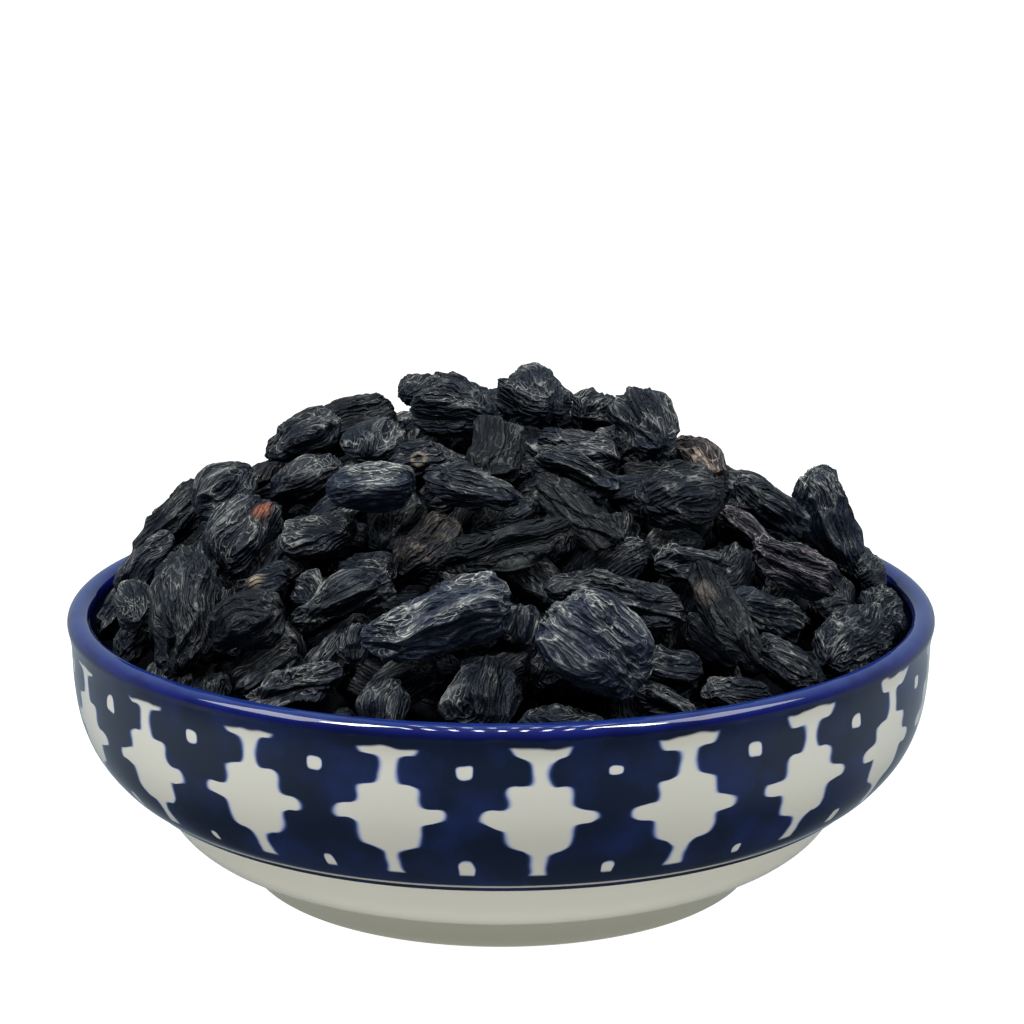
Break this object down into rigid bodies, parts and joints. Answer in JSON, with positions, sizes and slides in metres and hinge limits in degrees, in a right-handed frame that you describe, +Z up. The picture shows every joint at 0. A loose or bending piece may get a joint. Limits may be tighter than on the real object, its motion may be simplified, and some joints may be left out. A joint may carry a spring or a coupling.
{
  "type": "bowl of raisins",
  "caption": "Shallow glazed ceramic bowl with a stepped-star band, a ledge and a foot ring, heaped above its rim with dark wrinkled raisins.",
  "frame": {"origin": "centre of the foot ring's underside, on the bowl's axis", "axes": "+Z up along the bowl's axis, -Y towards the side shown in front, +X to the right seen from the front"},
  "size_m": [0.12, 0.12, 0.0717],
  "materials": {
    "glaze": "glossy glaze: cobalt lip, navy band with off-white stepped stars, navy inside, off-white below the ledge",
    "raisin": "satin, deeply wrinkled dried-fruit skin, blue-black with a thin grey bloom on the ridges"
  },
  "bodies": {
    "root": {"bowl": "glaze", "raisin_bed": "raisin", "raisin_01": "raisin", "raisin_02": "raisin", "raisin_03": "raisin", "raisin_04": "raisin", "raisin_05": "raisin", "raisin_06": "raisin", "raisin_07": "raisin", "raisin_08": "raisin", "raisin_09": "raisin", "raisin_10": "raisin", "raisin_11": "raisin", "raisin_12": "raisin", "raisin_13": "raisin", "raisin_14": "raisin", "raisin_15": "raisin", "raisin_16": "raisin", "raisin_17": "raisin", "raisin_18": "raisin", "raisin_19": "raisin", "raisin_20": "raisin", "raisin_21": "raisin", "raisin_22": "raisin", "raisin_23": "raisin", "raisin_24": "raisin", "raisin_25": "raisin", "raisin_26": "raisin", "raisin_27": "raisin", "raisin_28": "raisin", "raisin_29": "raisin", "raisin_30": "raisin", "raisin_31": "raisin", "raisin_32": "raisin", "raisin_33": "raisin", "raisin_34": "raisin", "raisin_35": "raisin", "raisin_36": "raisin", "raisin_37": "raisin", "raisin_38": "raisin", "raisin_39": "raisin", "raisin_40": "raisin", "raisin_41": "raisin", "raisin_42": "raisin", "raisin_43": "raisin", "raisin_44": "raisin", "raisin_45": "raisin", "raisin_46": "raisin", "raisin_47": "raisin", "raisin_48": "raisin", "raisin_49": "raisin", "raisin_50": "raisin", "raisin_51": "raisin", "raisin_52": "raisin", "raisin_53": "raisin", "raisin_54": "raisin", "raisin_55": "raisin", "raisin_56": "raisin", "raisin_57": "raisin"}
  },
  "joints": []
}
